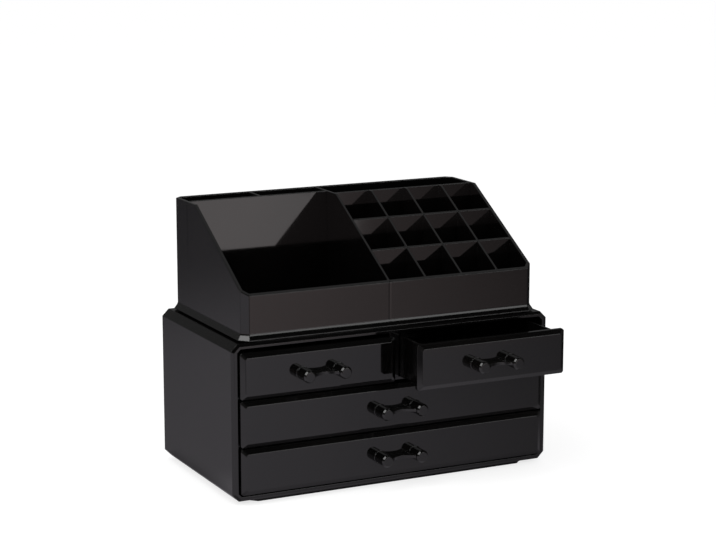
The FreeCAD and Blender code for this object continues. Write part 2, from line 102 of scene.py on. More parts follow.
# ---------------------------------------------------------------- node trees
class Graph:
    """Adds nodes and links to one node tree."""

    COLOUR_INPUTS = (6, 7)     # of a Mix node, whose sockets share their names
    COLOUR_RESULT = 2

    def __init__(self, tree: bpy.types.NodeTree) -> None:
        """Start on a tree, which is emptied first.

        Args:
            tree: the node tree of a material, a world or a node group.
        """
        self.tree = tree
        tree.nodes.clear()

    def node(self, kind: str, **settings: object) -> bpy.types.Node:
        """Add a node and set its properties.

        Args:
            kind: the node's type name, without the ShaderNode in front.
            settings: properties of the node by name.

        Returns:
            The new node.
        """
        made = self.tree.nodes.new(kind if kind.startswith("Node") else "ShaderNode" + kind)
        for name, value in settings.items():
            setattr(made, name, value)
        return made

    def feed(self, socket: Socket, value: Union[Socket, float, tuple[float, ...]]) -> None:
        """Link another node's output to a socket, or set the socket's own value.

        Args:
            socket: the input that is fed.
            value: an output socket, a number or a vector.
        """
        if isinstance(value, bpy.types.NodeSocket):
            self.tree.links.new(value, socket)
        else:
            socket.default_value = value

    def add(self, kind: str, values: Union[dict, tuple], output: int = 0, **settings: object) -> Socket:
        """Add a node, feed its inputs and pick out one of its outputs.

        Args:
            kind: the node's type name, without the ShaderNode in front.
            values: what its inputs are given, by name or number, or simply in their order.
            output: which of its outputs is wanted.
            settings: properties of the node by name.

        Returns:
            That output.
        """
        made = self.node(kind, **settings)
        for key, value in (values if isinstance(values, dict) else dict(enumerate(values))).items():
            self.feed(made.inputs[key], value)
        return made.outputs[output]

    def surface(self, shader: Socket, kind: str = "OutputMaterial") -> None:
        """Let a shader be what the tree shows.

        Args:
            shader: the shader's output.
            kind: the type name of the tree's output node.
        """
        self.feed(self.node(kind).inputs["Surface"], shader)

    def math(self, operation: str, a: Value, b: Value = 0.0, clamp: bool = False) -> Socket:
        """A Math node.

        Args:
            operation: its operation, such as MULTIPLY.
            a: the first value.
            b: the second value.
            clamp: whether the result stays between 0 and 1.

        Returns:
            Its output.
        """
        return self.add("Math", (a, b), operation=operation, use_clamp=clamp)

    def chain(self, operation: str, first: Value, *others: Value) -> Value:
        """Join any number of values, one after another, by the same operation.

        Args:
            operation: such as ADD or MULTIPLY.
            first: the first value.
            others: the values that follow.

        Returns:
            The result.
        """
        for other in others:
            first = self.math(operation, first, other)
        return first

    def fade(self, value: Socket, change: Fade) -> Socket:
        """Map a value from one range to another.

        Args:
            value: what is mapped.
            change: the ranges.

        Returns:
            The mapped value.
        """
        ranges = {"From Min": change.start, "From Max": change.end, "To Min": change.first, "To Max": change.last}
        return self.add("MapRange", {"Value": value, **ranges},
                        interpolation_type="SMOOTHSTEP" if change.eased else "LINEAR")

    def blend(self, factor: Value, a: Union[Socket, Colour], b: Union[Socket, Colour]) -> Socket:
        """Mix two colours.

        Args:
            factor: how much of the second one shows.
            a: the first colour.
            b: the second colour.

        Returns:
            The mixed colour.
        """
        colours = {index: (*colour, 1.0) if isinstance(colour, tuple) else colour
                   for index, colour in zip(self.COLOUR_INPUTS, (a, b))}
        return self.add("Mix", {"Factor": factor, **colours}, self.COLOUR_RESULT, data_type="RGBA")

    def noise(self, place: Socket, scale: Value, detail: float = 2.0, roughness: float = 0.5) -> Socket:
        """A noise texture's factor.

        Args:
            place: the coordinates that it reads.
            scale: its frequency, per metre.
            detail: how many octaves it has.
            roughness: how strong the finer octaves are.

        Returns:
            Its factor, about 0.5 on average.
        """
        return self.add("TexNoise", {"Vector": place, "Scale": scale, "Detail": detail, "Roughness": roughness})

    def object_place(self) -> Socket:
        """Coordinates on the piece itself, in metres."""
        return self.node("TexCoord").outputs["Object"]

    def axes(self, vector: Socket) -> list[Socket]:
        """A vector's X, Y and Z."""
        split = self.node("SeparateXYZ")
        self.feed(split.inputs[0], vector)
        return list(split.outputs)

    def away_from(self, spot: Spot) -> Socket:
        """How far the surface is, in plan, from a spot.

        Args:
            spot: the spot, in metres.

        Returns:
            The distance in metres.
        """
        x, y, _ = self.axes(self.object_place())
        along = self.math("SUBTRACT", x, spot[0])
        across = self.math("SUBTRACT", y, spot[1])
        squares = self.math("ADD", self.math("MULTIPLY", along, along), self.math("MULTIPLY", across, across))
        return self.math("SQRT", squares)

    def seen_by(self, *rays: Ray) -> Socket:
        """Pick out some kinds of ray.

        Args:
            rays: the kinds of ray.

        Returns:
            1 for those rays and 0 for others.
        """
        path = self.node("LightPath")
        return self.chain("MAXIMUM", *(path.outputs[ray.value] for ray in rays))


def node_group(name: str, inputs: dict[str, float], output: str,
               build: Callable[[Graph, dict[str, Socket]], Socket]) -> bpy.types.NodeTree:
    """Make a shader node group whose sockets are all numbers.

    Args:
        name: what the group is called.
        inputs: the inputs' names and default values.
        output: the output's name.
        build: fills the group, and returns the value for the output.

    Returns:
        The group.
    """
    tree = bpy.data.node_groups.new(name, "ShaderNodeTree")
    for socket_name, value in inputs.items():
        socket = tree.interface.new_socket(name=socket_name, in_out="INPUT", socket_type="NodeSocketFloat")
        socket.default_value = value
    tree.interface.new_socket(name=output, in_out="OUTPUT", socket_type="NodeSocketFloat")
    graph = Graph(tree)
    entry = graph.node("NodeGroupInput")
    result = build(graph, {socket_name: entry.outputs[socket_name] for socket_name in inputs})
    graph.feed(graph.node("NodeGroupOutput").inputs[output], result)
    return tree


def new_material(name: str) -> tuple[bpy.types.Material, Graph]:
    """Make a material whose nodes are still to be added.

    Args:
        name: what the material is called.

    Returns:
        The material and its graph.
    """
    made = bpy.data.materials.new(name)
    made.use_nodes = True
    return made, Graph(made.node_tree)


class SurfaceEffects:
    """The node groups that several finishes share."""

    FINER_RIPPLE = 4.0                    # frequency of a ripple within the ripple
    FINER_HEIGHT = 0.12                   # and its height
    HAIRLINE_RUNS = (                     # turn and frequencies of each direction of hairlines
        ((0.3, 0.2, 0.5), (900.0, 22.0, 60.0)),
        ((1.2, 0.4, 1.9), (26.0, 1100.0, 70.0)),
    )
    HAIRLINES = Fade(0.66, 0.74)          # what part of a noise is a hairline
    SCRATCHED_SCALE = 18.0
    SCRATCHED = Fade(0.45, 0.7)           # what part of a noise is a scratched patch
    SPECK_SCALE = 1500.0
    SPECKS = Fade(0.68, 0.78)             # what part of a noise is a speck
    SETTLING = Fade(0.0, 1.0, 0.25, 1.0)  # how much dust lies on a face, by how far it looks up
    SMEARS = Fade(0.4, 0.75)              # what part of a noise is a smear
    EDGE_SAMPLES = 4
    DOT_RESULT = 1                        # the output of a Vector Math node that is a number
    RUBBED = Fade(0.98, 0.8)              # an edge, by how the rounded normal agrees with the plain one
    WORN_SCALE = 220.0
    WORN = Fade(0.35, 0.6, 0.3, 1.0)      # how evenly an edge is rubbed

    def __init__(self) -> None:
        """Build each group once."""
        self.ripple = node_group("moulding_ripple", {"Scale": 9.0}, "Height", self.build_ripple)
        self.scratches = node_group("hairline_scratches", {"Amount": 0.3}, "Mask", self.build_scratches)
        self.dust = node_group("settled_dust", {"Amount": 0.3}, "Mask", self.build_dust)
        self.smears = node_group("handling_smears", {"Scale": 30.0}, "Mask", self.build_smears)
        self.edges = node_group("rubbed_edges", {"Radius": 0.4 * MM}, "Mask", self.build_edges)

    def build_ripple(self, graph: Graph, entry: dict[str, Socket]) -> Socket:
        """Slow unevenness that a moulded wall has.

        Args:
            graph: the group's graph.
            entry: its inputs.

        Returns:
            The height, between 0 and 1.
        """
        place = graph.object_place()
        broad = graph.noise(place, entry["Scale"], detail=1.0)
        finer = graph.noise(place, graph.math("MULTIPLY", entry["Scale"], self.FINER_RIPPLE), detail=1.0)
        return graph.math("ADD", broad, graph.math("MULTIPLY", finer, self.FINER_HEIGHT))

    def build_scratches(self, graph: Graph, entry: dict[str, Socket]) -> Socket:
        """Fine hairlines in two directions, in patches.

        Args:
            graph: the group's graph.
            entry: its inputs.

        Returns:
            The mask, 1 on a scratch.
        """
        place = graph.object_place()
        runs = [graph.add("Mapping", {"Vector": place, "Rotation": turn, "Scale": scale})
                for turn, scale in self.HAIRLINE_RUNS]
        streaks = [graph.noise(run, 1.0, detail=1.0) for run in runs]
        lines = graph.chain("MAXIMUM", *(graph.fade(streak, self.HAIRLINES) for streak in streaks))
        patches = graph.fade(graph.noise(place, self.SCRATCHED_SCALE), self.SCRATCHED)
        return graph.chain("MULTIPLY", lines, patches, entry["Amount"])

    def build_dust(self, graph: Graph, entry: dict[str, Socket]) -> Socket:
        """Specks that settle, most of them on faces that look up.

        Args:
            graph: the group's graph.
            entry: its inputs.

        Returns:
            The mask, 1 on a speck.
        """
        specks = graph.fade(graph.noise(graph.object_place(), self.SPECK_SCALE), self.SPECKS)
        _, _, upward = graph.axes(graph.node("NewGeometry").outputs["Normal"])
        return graph.chain("MULTIPLY", specks, graph.fade(upward, self.SETTLING), entry["Amount"])

    def build_smears(self, graph: Graph, entry: dict[str, Socket]) -> Socket:
        """Soft patches where the gloss has been touched.

        Args:
            graph: the group's graph.
            entry: its inputs.

        Returns:
            The mask, between 0 and 1.
        """
        return graph.fade(graph.noise(graph.object_place(), entry["Scale"], detail=4.0, roughness=0.6), self.SMEARS)

    def build_edges(self, graph: Graph, entry: dict[str, Socket]) -> Socket:
        """Corners and edges that are rubbed a little duller.

        Args:
            graph: the group's graph.
            entry: its inputs.

        Returns:
            The mask, 1 on a rubbed edge.
        """
        rounded = graph.add("Bevel", {"Radius": entry["Radius"]}, samples=self.EDGE_SAMPLES)
        plain = graph.node("NewGeometry").outputs["Normal"]
        alike = graph.add("VectorMath", (rounded, plain), self.DOT_RESULT, operation="DOT_PRODUCT")
        edge = graph.fade(alike, self.RUBBED)
        worn = graph.fade(graph.noise(graph.object_place(), self.WORN_SCALE, detail=3.0), self.WORN)
        return graph.math("MULTIPLY", edge, worn)


# ---------------------------------------------------------------- finishes
@dataclass(frozen=True)
class GlossPlastic:
    """Moulded polystyrene with a mirror gloss.

    Scales are frequencies per metre, and depths, heights and radii are in metres.

    Attributes:
        tint: what the colour drifts towards in slow clouds.
        clouds: what part of a noise is a cloud.
        ior: the gloss, as an index of refraction.
        roughness: of a clean patch, to which the other four roughnesses are added where they show.
        ripple_scale: of the unevenness that moulding leaves.
        edge_radius: the rounding that edges are shown with.
        sinks: points in plan where a divider behind the wall has left an upright sink mark.
        sink: how the surface rises from the middle of a sink mark, by the distance from it.
    """

    name: str
    colour: Colour = (0.0015, 0.0014, 0.0014)
    tint: Colour = (0.0025, 0.0022, 0.0021)
    cloud_scale: float = 12.0
    clouds: Fade = Fade(0.35, 0.7)
    dust_colour: Colour = (0.07, 0.066, 0.062)
    ior: float = 1.5
    roughness: float = 0.045
    smear_roughness: float = 0.05
    smear_scale: float = 26.0
    edge_roughness: float = 0.08
    scratch_roughness: float = 0.2
    dust_roughness: float = 0.8
    ripple_scale: float = 9.0
    ripple_height: float = 0.03 * MM
    scratch_amount: float = 0.25
    scratch_depth: float = 0.002 * MM
    dust_amount: float = 0.10
    edge_radius: float = 0.35 * MM
    edge_samples: int = 6
    sinks: tuple[Spot, ...] = ()
    sink: Fade = Fade(0.0, 1.3 * MM)
    sink_depth: float = 0.10 * MM

    def material(self, effects: SurfaceEffects) -> bpy.types.Material:
        """Build the material.

        Args:
            effects: the node groups that the finishes share.

        Returns:
            The finished material.
        """
        made, graph = new_material(self.name)
        ripple = graph.add("Group", {"Scale": self.ripple_scale}, node_tree=effects.ripple)
        scratches = graph.add("Group", {"Amount": self.scratch_amount}, node_tree=effects.scratches)
        dust = graph.add("Group", {"Amount": self.dust_amount}, node_tree=effects.dust)
        smears = graph.add("Group", {"Scale": self.smear_scale}, node_tree=effects.smears)
        edges = graph.add("Group", {"Radius": self.edge_radius}, node_tree=effects.edges)

        clouds = graph.fade(graph.noise(graph.object_place(), self.cloud_scale, detail=3.0), self.clouds)
        colour = graph.blend(dust, graph.blend(clouds, self.colour, self.tint), self.dust_colour)

        handled = graph.math("ADD", graph.math("MULTIPLY", smears, self.smear_roughness), self.roughness)
        rubbed = graph.math("MULTIPLY", edges, self.edge_roughness)
        scratched = graph.math("MULTIPLY", scratches, self.scratch_roughness)
        dusty = graph.math("MULTIPLY", dust, self.dust_roughness)
        rough = graph.math("ADD", graph.chain("ADD", handled, rubbed, scratched), dusty, clamp=True)

        normal = graph.add("Bevel", {"Radius": self.edge_radius}, samples=self.edge_samples)
        normal = graph.add("Bump", {"Distance": self.ripple_height, "Height": ripple, "Normal": normal})
        for spot in self.sinks:
            sunken = graph.fade(graph.away_from(spot), self.sink)
            normal = graph.add("Bump", {"Distance": self.sink_depth, "Height": sunken, "Normal": normal})
        scored = {"Distance": self.scratch_depth, "Height": scratches, "Normal": normal}
        graph.surface(graph.add("BsdfPrincipled", {
            "Base Color": colour, "Roughness": rough, "IOR": self.ior,
            "Normal": graph.add("Bump", scored, invert=True)}))
        return made


@dataclass(frozen=True)
class ZincSteel:
    """Zinc plated screw steel.

    Attributes:
        dull_colour: of plating that has dulled.
        roughness: of bright plating, to which smear_roughness is added where it is dull.
    """

    name: str
    colour: Colour = (0.60, 0.60, 0.61)
    dull_colour: Colour = (0.42, 0.42, 0.44)
    roughness: float = 0.26
    smear_roughness: float = 0.18
    smear_scale: float = 350.0
    grain_scale: float = 2600.0
    grain_height: float = 0.01 * MM

    def material(self, effects: SurfaceEffects) -> bpy.types.Material:
        """Build the material.

        Args:
            effects: the node groups that the finishes share.

        Returns:
            The finished material.
        """
        made, graph = new_material(self.name)
        smears = graph.add("Group", {"Scale": self.smear_scale}, node_tree=effects.smears)
        grain = graph.noise(graph.object_place(), self.grain_scale, detail=3.0)
        graph.surface(graph.add("BsdfPrincipled", {
            "Metallic": 1.0,
            "Base Color": graph.blend(smears, self.colour, self.dull_colour),
            "Roughness": graph.math("ADD", graph.math("MULTIPLY", smears, self.smear_roughness), self.roughness),
            "Normal": graph.add("Bump", {"Distance": self.grain_height, "Height": grain})}))
        return made


# ---------------------------------------------------------------- modelling helpers
def only(*pieces: bpy.types.Object) -> None:
    """Select nothing but the given objects, and make the first one the active one."""
    bpy.ops.object.select_all(action="DESELECT")
    for piece in pieces:
        piece.select_set(True)
    bpy.context.view_layer.objects.active = pieces[0]


def start_piece(name: str) -> bpy.types.Object:
    """Name the primitive that was just added, settle its place in its mesh and open it in edit mode.

    Args:
        name: what the piece is called.

    Returns:
        The object, in edit mode.
    """
    piece = bpy.context.active_object
    piece.name = name
    piece.data.name = name
    bpy.ops.object.transform_apply()
    bpy.ops.object.mode_set(mode="EDIT")
    bpy.ops.mesh.select_mode(type="FACE")
    return piece


def start_round(name: str, radius: float, sides: int, x: float = 0.0) -> bpy.types.Object:
    """Start a piece from a round face that looks along Y, at y = 0.

    Args:
        name: what the piece is called.
        radius: the face's radius.
        sides: how many sides it has.
        x: where its middle lies.

    Returns:
        The object, in edit mode, with the face selected.
    """
    bpy.ops.object.select_all(action="DESELECT")
    bpy.ops.mesh.primitive_circle_add(
        vertices=sides, radius=radius, fill_type="NGON", location=(x, 0, 0), rotation=(math.radians(90), 0, 0))
    piece = start_piece(name)
    bpy.ops.mesh.select_all(action="SELECT")
    return piece


def pull_rings(rings: list[Pair], radius: float, x: float = 0.0) -> None:
    """Extrude the selected round face, which lies at y = 0, through a row of rings.

    Args:
        rings: place along Y and radius of each ring.
        radius: the radius of the face that is selected.
        x: where the rings' axis lies.
    """
    place = 0.0
    for ring_place, ring_radius in rings:
        bpy.ops.mesh.extrude_region_move(TRANSFORM_OT_translate={"value": (0, ring_place - place, 0)})
        factor = ring_radius / radius
        bpy.ops.transform.resize(value=(factor, 1, factor), center_override=(x, ring_place, 0))
        place, radius = ring_place, ring_radius


def select_where(piece: bpy.types.Object, kind: Element, test: Callable[[Vector], bool]) -> None:
    """Select, in edit mode, only what lies where a test says.

    Args:
        piece: the object in edit mode.
        kind: which elements of the mesh are looked at.
        test: is given the middle of each, and says whether it is selected.
    """
    bpy.ops.mesh.select_mode(type=kind.name)
    bpy.ops.mesh.select_all(action="DESELECT")
    mesh = bmesh.from_edit_mesh(piece.data)
    for element in getattr(mesh, kind.value):
        middle = sum((v.co for v in element.verts), Vector()) / len(element.verts)
        element.select = bool(test(middle))
    mesh.select_flush_mode()
    bmesh.update_edit_mesh(piece.data)


def finish_piece(piece: bpy.types.Object, smooth_angle: float) -> bpy.types.Object:
    """Leave edit mode, point the faces outwards, smooth the shading and settle the place in the mesh.

    Args:
        piece: the object in edit mode.
        smooth_angle: faces that meet at less than this are shaded smooth, in radians.

    Returns:
        The same object, at the origin, unturned and unscaled.
    """
    bpy.ops.mesh.select_all(action="SELECT")
    bpy.ops.mesh.remove_doubles(threshold=SAME_POINT)
    bpy.ops.mesh.normals_make_consistent(inside=False)
    bpy.ops.object.mode_set(mode="OBJECT")
    only(piece)
    bpy.ops.object.transform_apply()
    bpy.ops.object.shade_smooth_by_angle(angle=smooth_angle)
    return piece


def apply_modifier(piece: bpy.types.Object, kind: str, **settings: object) -> None:
    """Add a modifier to a piece and apply it.

    Args:
        piece: the object.
        kind: the modifier's type.
        settings: its properties by name.
    """
    only(piece)
    modifier = piece.modifiers.new(kind.lower(), kind)
    for name, value in settings.items():
        setattr(modifier, name, value)
    bpy.ops.object.modifier_apply(modifier=modifier.name)


def copied(piece: bpy.types.Object, name: str, shift: Vector) -> bpy.types.Object:
    """Copy a piece with its own mesh, moved within that mesh.

    Args:
        piece: what is copied.
        name: the copy's name.
        shift: how far the copy lies from the original.

    Returns:
        The copy.
    """
    only(piece)
    bpy.ops.object.duplicate(linked=False)
    twin = bpy.context.active_object
    twin.name = name
    twin.data.name = name
    twin.location = shift
    bpy.ops.object.transform_apply()
    return twin


def joined(pieces: list[bpy.types.Object], name: str) -> bpy.types.Object:
    """Join objects into one.

    Args:
        pieces: the objects, of which the first one stays.
        name: what the joined one is called.

    Returns:
        The joined object.
    """
    only(*pieces)
    bpy.ops.object.join()
    pieces[0].name = name
    pieces[0].data.name = name
    return pieces[0]


def dress(piece: bpy.types.Object, material: bpy.types.Material) -> None:
    """Give a whole piece one material, in each slot that it has.

    Args:
        piece: the object.
        material: the finish.
    """
    if not piece.material_slots:
        piece.data.materials.append(material)
    for slot in piece.material_slots:
        slot.link = "OBJECT"
        slot.material = material


def dress_nodes(names: tuple[str, ...], material: bpy.types.Material) -> None:
    """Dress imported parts, and report them.

    Args:
        names: the parts' names.
        material: the finish.
    """
    for name in names:
        dress(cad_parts[name], material)
    log.info("dressed %s", ", ".join(names))


# ---------------------------------------------------------------- sub-assemblies
@dataclass(frozen=True)
class Cabinet:
    """The cabinet that stands still: sleeve, back, shelves and the upright between the small drawers."""

    nodes: tuple[str, ...] = ("cabinet_shell", "back_panel", "lower_shelf", "upper_shelf", "centre_divider")

    def build(self, finish: bpy.types.Material) -> None:
        """Dress the cabinet.

        Args:
            finish: the gloss of all its parts.
        """
        dress_nodes(self.nodes, finish)

    def footprint(self) -> Pair:
        """Its width and its depth."""
        low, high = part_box("cabinet_shell")
        return high.x - low.x, high.y - low.y


@dataclass(frozen=True)
class Tray:
    """The tray that lifts off: a shell with a sloping rim, and the plates that divide it."""

    wall: float = 2.5 * MM     # of the shell
    plates: tuple[str, ...] = (
        "middle_partition", "brush_wall", "brush_divider", "row_divider_front", "row_divider_middle",
        "row_divider_back", "column_divider_1", "column_divider_2", "column_divider_3",
    )

    def sinks(self) -> tuple[Spot, Spot]:
        """Where the shell is marked by the plates glued to its inside.

        Returns:
            Points in plan on the outside of the front wall and of the left wall.
        """
        low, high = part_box("middle_partition")
        front = ((low.x + high.x) / 2, low.y - self.wall)
        low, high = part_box("brush_wall")
        left = (low.x - self.wall, (low.y + high.y) / 2)
        return front, left

    def build(self, shell_finish: bpy.types.Material, plate_finish: bpy.types.Material) -> None:
        """Dress the tray.

        Args:
            shell_finish: the gloss of the shell.
            plate_finish: the gloss of the plates.
        """
        dress_nodes(("tray_shell",), shell_finish)
        dress_nodes(self.plates, plate_finish)


@dataclass(frozen=True)
class PostHandle:
    """A drawer handle: two round posts joined by a web with a hollow front edge.

    It is modelled about its own middle, on a panel at y = 0, and reaches out along -Y. A coarse cage of its
    right half is drawn first, which is then mirrored and subdivided.

    Attributes:
        height: the diameter of a post's foot.
        post_radius: of a post above its foot.
        post_rings: where a post has rings behind the web, as shares of the web's reach.
        tip_edge: how much narrower a post's end is, all round, and tip_taper how long the slope to it is.
        tip_middle: the innermost ring of that end, as a share of the post's radius.
        crisp: how near each other the rings of a sharp edge lie.
        web_lift: how far from the feet the web starts.
        web_reach: how far from the panel it reaches beside the posts, and web_waist half way between them.
        arc_half_span: how far from the handle's middle the hollow of its front edge goes.
        web_steps: how many sections its half has.
        sides: of a post's cage, 4n + 2, so that a flat side looks at the other post.
        seam_reach: points of the two halves nearer than this are merged.
    """

    width: float
    reach: float
    height: float
    post_radius: float = 4.35 * MM
    foot_height: float = 0.6 * MM
    post_rings: Pair = (0.4, 0.7)
    tip_edge: float = 1.1 * MM
    tip_taper: float = 1.5 * MM
    tip_middle: float = 0.45
    crisp: float = 0.1 * MM
    web_lift: float = 0.35 * MM
    web_reach: float = 11.2 * MM
    web_waist: float = 6.5 * MM
    arc_half_span: float = 9.2 * MM
    web_crease: float = 0.85
    web_steps: int = 6
    sides: int = 14
    subdivisions: int = 3
    seam_reach: float = 0.01 * MM
    smooth_angle: float = math.radians(40)

    @property
    def post_x(self) -> float:
        """How far each post stands from the handle's middle."""
        return (self.width - self.height) / 2

    @property
    def swell(self) -> float:
        """How much wider the cage is than the round post that it subdivides into."""
        return 3 / (2 + math.cos(2 * math.pi / self.sides))

    @property
    def foot_radius(self) -> float:
        """Radius of the cage at the foot of a post."""
        return self.height / 2 * self.swell

    @property
    def web_base(self) -> float:
        """How far from the panel the web starts."""
        return self.foot_height + self.web_lift

    @property
    def web_start(self) -> float:
        """Where the flat side of a post lies, from which the web starts."""
        return self.post_x - self.post_radius * self.swell * math.cos(math.pi / self.sides)

    def build(self) -> bpy.types.Object:
        """Model the whole handle.

        Returns:
            The handle, about its own middle.
        """
        cage = start_round("handle_cage", self.foot_radius, self.sides, self.post_x)
        pull_rings([(-out, radius) for out, radius in self.rings()], self.foot_radius, self.post_x)
        self.draw_web(cage)
        finish_piece(cage, self.smooth_angle)
        apply_modifier(cage, "MIRROR", use_axis=(True, False, False), use_clip=True, merge_threshold=self.seam_reach)
        apply_modifier(cage, "SUBSURF", levels=self.subdivisions, render_levels=self.subdivisions)
        only(cage)
        bpy.ops.object.mode_set(mode="EDIT")
        return finish_piece(cage, self.smooth_angle)

    def rings(self) -> list[Pair]:
        """The rings of the cage along a post.

        Returns:
            How far out each ring lies from the panel, and its radius.
        """
        foot, post = self.foot_radius, self.post_radius * self.swell
        tip, edge, taper, crisp = self.reach, self.tip_edge, self.tip_taper, self.crisp
        return [
            (crisp, foot),
            (self.foot_height - crisp, foot),
            (self.foot_height, foot - crisp),
            (self.foot_height, post + crisp),
            (self.foot_height + crisp, post),
            (self.web_base, post),
            *((self.web_reach * share, post) for share in self.post_rings),
            (self.web_reach - crisp, post),
            (self.web_reach, post),
            (tip - taper - crisp, post),
            (tip - taper + crisp, post - crisp),
            (tip - crisp, post - edge + crisp),
            (tip, post - edge - crisp),
            (tip, post * self.tip_middle),
        ]

    def draw_web(self, cage: bpy.types.Object) -> None:
        """Pull the web out of the side of the post, as far as the middle of the handle.

        Args:
            cage: the half cage, in edit mode.
        """
        start = self.web_start

        def on_web_side(middle: Vector) -> bool:
            """Faces of the post that look at the other post."""
            in_reach = self.foot_height + self.crisp < -middle.y < self.web_reach
            return middle.x < start + self.crisp and abs(middle.z) < self.crisp and in_reach

        select_where(cage, Element.FACE, on_web_side)
        base = -self.web_base
        x, depth = start, self.web_reach
        for next_x in self.web_stops():
            next_depth = self.web_depth(next_x)
            bpy.ops.mesh.extrude_region_move(TRANSFORM_OT_translate={"value": (next_x - x, 0, 0)})
            factor = (next_depth + base) / (depth + base)
            bpy.ops.transform.resize(value=(1, factor, 1), center_override=(next_x, base, 0))
            x, depth = next_x, next_depth
        bpy.ops.mesh.delete(type="FACE")
        select_where(cage, Element.EDGE, self.is_web_edge)
        bpy.ops.transform.edge_crease(value=self.web_crease)

    def web_stops(self) -> list[float]:
        """Places across the handle where the web's cage has a section."""
        start = self.web_start
        return [start - self.crisp] + [start * (1 - step / self.web_steps) for step in range(1, self.web_steps + 1)]

    def is_web_edge(self, middle: Vector) -> bool:
        """Whether an edge of the cage, given its middle, is one of the four long edges of the web."""
        stops = self.web_stops()
        lengthwise = all(abs(middle.x - stop) > self.crisp / 2 for stop in stops) and middle.x < stops[0]
        at_front = abs(-middle.y - self.web_depth(middle.x)) < self.crisp / 2
        at_back = -middle.y < self.web_base - self.crisp / 2
        half_thickness = self.post_radius * self.swell * math.sin(math.pi / self.sides)
        at_side = abs(abs(middle.z) - half_thickness) < self.crisp
        return lengthwise and at_side and (at_front or at_back)

    def web_depth(self, x: float) -> float:
        """How far the web reaches out at a place across the handle.

        Args:
            x: distance from the handle's middle.

        Returns:
            The reach, which is least half way between the posts.
        """
        rise = self.web_reach - self.web_waist
        radius = (self.arc_half_span ** 2 + rise ** 2) / (2 * rise)
        if abs(x) >= self.arc_half_span:
            return self.web_reach
        return self.web_waist + radius - math.sqrt(radius ** 2 - x ** 2)


@dataclass(frozen=True)
class PanScrew:
    """A pan head screw with a cross recess, whose head sits on a wall at y = 0 and whose shank runs along -Y.

    Attributes:
        rim_share: how much of the head's height its upright rim takes.
        crown_share: the radius of the head's flat top, as a share of the head's.
        collar: how far the shank is plain under the head, and where its ridges start.
        bare_tip: how long the shank's end has no ridges, and tip_share how wide it ends, as a share.
        ridge: place within a pitch and radius, as shares, of each ring of a ridge.
        recess_arm: from the middle to the end of an arm of the cross.
        recess_overlap: how far the cutter stands out of the head.
        arm_taper: how long an arm is at the bottom, as a share of its length at the top.
        width_taper: how wide it is there, as a share of its width at the top.
    """

    head_radius: float
    head_height: float
    shank_length: float
    rim_share: float = 0.45
    crown_share: float = 0.42
    dome_steps: int = 6
    shank_radius: float = 1.5 * MM
    collar: Pair = (0.3 * MM, 0.6 * MM)
    bare_tip: float = 1.2 * MM
    tip_share: float = 0.5
    thread_pitch: float = 0.7 * MM
    ridge: tuple[Pair, ...] = ((0.0, 0.82), (0.35, 1.0), (0.5, 1.0), (0.9, 0.82))
    recess_arm: float = 1.75 * MM
    recess_width: float = 0.75 * MM
    recess_depth: float = 1.05 * MM
    recess_overlap: float = 1.0 * MM
    arm_taper: float = 0.45
    width_taper: float = 0.8
    sides: int = 40
    smooth_angle: float = math.radians(35)

    def build(self) -> bpy.types.Object:
        """Model the screw about its own axis.

        Returns:
            The screw.
        """
        screw = start_round("pan_screw", self.head_radius, self.sides)
        pull_rings(self.head_rings(), self.head_radius)
        select_where(screw, Element.FACE, lambda middle: abs(middle.y) < SAME_POINT)
        pull_rings(self.shank_rings(), self.head_radius)
        finish_piece(screw, self.smooth_angle)
        self.cut_recess(screw)
        return screw

    def head_rings(self) -> list[Pair]:
        """Places and radii of the rings that make the domed head."""
        rings = [(self.rim_share * self.head_height, self.head_radius)]
        for step in range(1, self.dome_steps + 1):
            angle = math.pi / 2 * step / self.dome_steps
            rise = self.rim_share + (1 - self.rim_share) * math.sin(angle)
            width = self.crown_share + (1 - self.crown_share) * math.cos(angle)
            rings.append((self.head_height * rise, self.head_radius * width))
        return rings

    def shank_rings(self) -> list[Pair]:
        """Places and radii of the rings that make the shank, its ridges and its tip."""
        plain, out = self.collar
        rings = [(0.0, self.shank_radius), (-plain, self.shank_radius)]
        while out < self.shank_length - self.bare_tip:
            for part, share in self.ridge:
                rings.append((-(out + part * self.thread_pitch), self.shank_radius * share))
            out += self.thread_pitch
        rings.append((-self.shank_length, self.shank_radius * self.tip_share))
        return rings

    def cut_recess(self, screw: bpy.types.Object) -> None:
        """Cut a tapered cross into the head.

        Args:
            screw: the screw, in object mode.
        """
        bottom = self.head_height - self.recess_depth
        depth = self.recess_depth + self.recess_overlap
        half = self.recess_width / 2
        arms = (
            (self.recess_arm, half, self.arm_taper, self.width_taper),
            (half, self.recess_arm, self.width_taper, self.arm_taper),
        )
        for across, up, taper_across, taper_up in arms:
            bpy.ops.object.select_all(action="DESELECT")
            bpy.ops.mesh.primitive_cube_add(
                size=1, location=(0, bottom + depth / 2, 0), scale=(2 * across, depth, 2 * up))
            cutter = start_piece("recess_cutter")
            select_where(cutter, Element.FACE, lambda middle: middle.y < bottom + SAME_POINT)
            bpy.ops.transform.resize(value=(taper_across, 1, taper_up), center_override=(0, bottom, 0))
            finish_piece(cutter, self.smooth_angle)
            apply_modifier(screw, "BOOLEAN", object=cutter, operation="DIFFERENCE", solver="EXACT")
            bpy.data.objects.remove(cutter)
        only(screw)
        bpy.ops.object.shade_smooth_by_angle(angle=self.smooth_angle)


